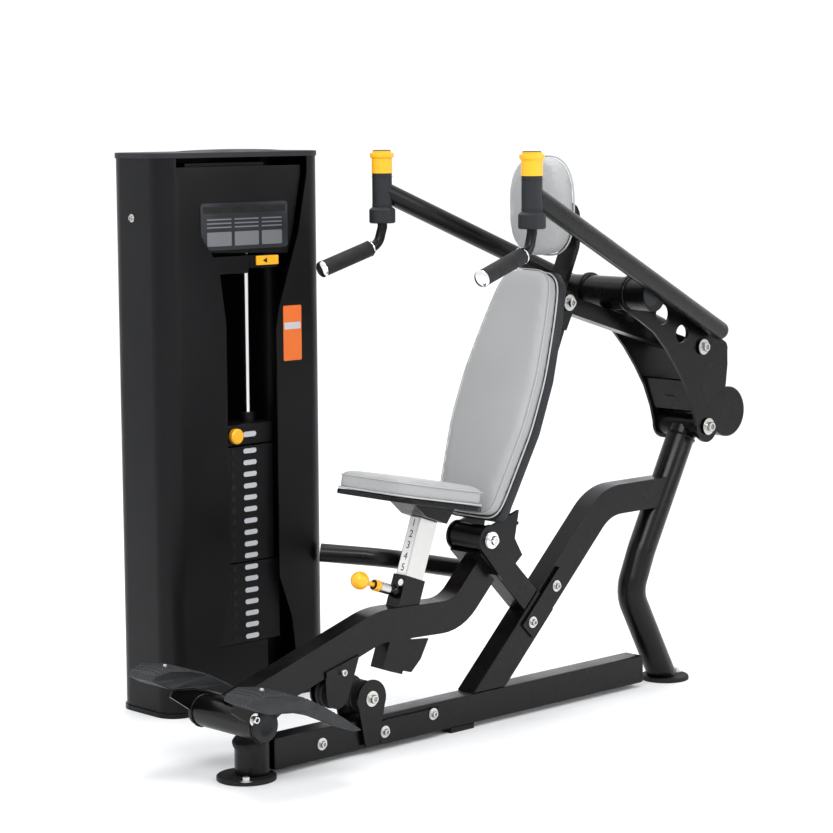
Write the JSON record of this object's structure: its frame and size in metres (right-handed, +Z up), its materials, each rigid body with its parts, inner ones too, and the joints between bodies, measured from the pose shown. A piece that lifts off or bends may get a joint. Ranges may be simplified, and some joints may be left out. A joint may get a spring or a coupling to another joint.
{
  "type": "shoulder press machine",
  "caption": "Seated shoulder press with a weight stack tower, a linked seat that tilts as the arms are pressed, swivelling handles and a padded back.",
  "frame": {"origin": "on the floor, at the sole of the pad under the middle of the base rail, in the centre plane of the seat", "axes": "+Z up, -Y the way the seated user faces, +X to the user's left, away from the weight tower"},
  "size_m": [1.0927, 1.8952, 1.4353],
  "materials": {
    "black_paint": "satin black powder coat",
    "grey_plastic": "moulded, fine grain",
    "light_vinyl": "upholstery vinyl",
    "stainless": "brushed",
    "chrome": "polished",
    "yellow": "glossy",
    "rubber": "matt",
    "iron": "painted black",
    "cable": "nylon-coated wire"
  },
  "bodies": {
    "frame": {"base_rail": "black_paint", "front_post": "black_paint", "stop_cap": "rubber", "front_foot": "rubber", "rear_upright": "black_paint", "arm_pivot_bolt": "stainless", "rear_foot": "rubber", "diagonal_tube": "black_paint", "arch_tube": "black_paint", "pivot_bracket": "black_paint", "seat_pivot_bolt": "stainless", "tower_stay": "black_paint", "rail_pulley_block": "black_paint", "front_shroud": "black_paint", "rear_shroud": "black_paint", "tower_base": "black_paint", "tower_cap": "grey_plastic", "header_panel": "black_paint", "stack_guard": "black_paint", "guide_rod_front": "chrome", "guide_rod_rear": "chrome", "heavy_plates": "iron", "light_plates": "iron", "tower_crossbar": "black_paint"},
    "rail_pulley_wheel": {"rail_pulley": "grey_plastic"},
    "lift_pulley_wheel": {"lift_pulley": "grey_plastic"},
    "carriage_pulley_wheel": {"carriage_pulley": "grey_plastic"},
    "addon": {"addon_lever": "yellow"},
    "lifted_plate": {"top_plate": "iron", "lift_cable": "cable"},
    "pin": {"selector_pin": "yellow"},
    "press_arms": {"arm_yoke": "black_paint", "cross_tube": "black_paint", "arm_tube_left": "black_paint", "arm_tube_right": "black_paint", "handle_sleeve_left": "grey_plastic", "handle_sleeve_right": "grey_plastic", "counterweight": "black_paint"},
    "handle_left": {"handle_bar_left": "black_paint", "grip_left": "rubber"},
    "handle_right": {"handle_bar_right": "black_paint", "grip_right": "rubber"},
    "cap_left": {"release_cap_left": "yellow"},
    "cap_right": {"release_cap_right": "yellow"},
    "link": {"link_bar": "black_paint"},
    "carriage": {"seat_tube": "black_paint", "seat_sleeve": "black_paint", "carriage_yoke": "black_paint", "back_post": "black_paint", "back_pad": "light_vinyl", "back_shell": "grey_plastic", "head_pad": "light_vinyl", "foot_tube": "black_paint", "foot_pad_left": "rubber", "foot_pad_right": "rubber", "carriage_pulley_block": "black_paint"},
    "seat": {"seat_post": "stainless", "seat_plate": "black_paint", "seat_pad": "light_vinyl"},
    "seat_lock": {"seat_pin": "yellow"}
  },
  "joints": [
    {"name": "press", "type": "hinge", "parent": "frame", "child": "press_arms", "pos_m": [0, 0.878, 0.689], "axis": [-1, 0, 0], "range_deg": [0, 39]},
    {"name": "carriage_tilt", "type": "hinge", "parent": "frame", "child": "carriage", "pos_m": [0, 0.071, 0.476], "axis": [-1, 0, 0], "range_deg": [0, 13.8]},
    {"name": "link_turn", "type": "hinge", "parent": "carriage", "child": "link", "pos_m": [0, 0.383, 1.047], "axis": [1, 0, 0], "range_deg": [0, 21.3]},
    {"name": "plate_lift", "type": "slide", "parent": "frame", "child": "lifted_plate", "axis": [0, 0, 1], "range_m": [0, 0.24], "deforming": ["lift_cable"]},
    {"name": "selector_pull", "type": "slide", "parent": "lifted_plate", "child": "pin", "axis": [1, 0, 0], "range_m": [0, 0.03]},
    {"name": "addon_turn", "type": "hinge", "parent": "frame", "child": "addon", "pos_m": [-0.574, -0.108, 1.156], "axis": [1, 0, 0], "range_deg": [-20, 20]},
    {"name": "handle_left_swivel", "type": "hinge", "parent": "press_arms", "child": "handle_left", "pos_m": [0.261, 0.011, 1.254], "axis": [0, 0, 1], "range_deg": [-90, 0]},
    {"name": "handle_right_swivel", "type": "hinge", "parent": "press_arms", "child": "handle_right", "pos_m": [-0.261, 0.011, 1.254], "axis": [0, 0, -1], "range_deg": [-90, 0]},
    {"name": "cap_left_pull", "type": "slide", "parent": "press_arms", "child": "cap_left", "axis": [0, 0, 1], "range_m": [0, 0.012], "stiffness_N_per_m": 400, "springref_m": -0.01},
    {"name": "cap_right_pull", "type": "slide", "parent": "press_arms", "child": "cap_right", "axis": [0, 0, 1], "range_m": [0, 0.012], "stiffness_N_per_m": 400, "springref_m": -0.01},
    {"name": "seat_height", "type": "slide", "parent": "carriage", "child": "seat", "axis": [0, 0.342, 0.9397], "range_m": [-0.08, 0.05]},
    {"name": "seat_pin_pull", "type": "slide", "parent": "carriage", "child": "seat_lock", "axis": [0, -0.9397, 0.342], "range_m": [0, 0.012], "stiffness_N_per_m": 600, "springref_m": -0.01},
    {"name": "rail_pulley_turn", "type": "hinge", "parent": "frame", "child": "rail_pulley_wheel", "pos_m": [0, -0.316, 0.136], "axis": [1, 0, 0], "continuous": true},
    {"name": "carriage_pulley_turn", "type": "hinge", "parent": "carriage", "child": "carriage_pulley_wheel", "pos_m": [0, -0.415, 0.16], "axis": [1, 0, 0], "continuous": true},
    {"name": "lift_pulley_turn", "type": "hinge", "parent": "frame", "child": "lift_pulley_wheel", "pos_m": [-0.6765, -0.218, 1.32], "axis": [0, 1, 0], "continuous": true}
  ],
  "couplings": [
    {"joint": "carriage_tilt", "follows": "press", "ratio": 0.351},
    {"joint": "link_turn", "follows": "press", "ratio": 0.542},
    {"joint": "plate_lift", "follows": "press", "m_per_rad": 0.35}
  ]
}
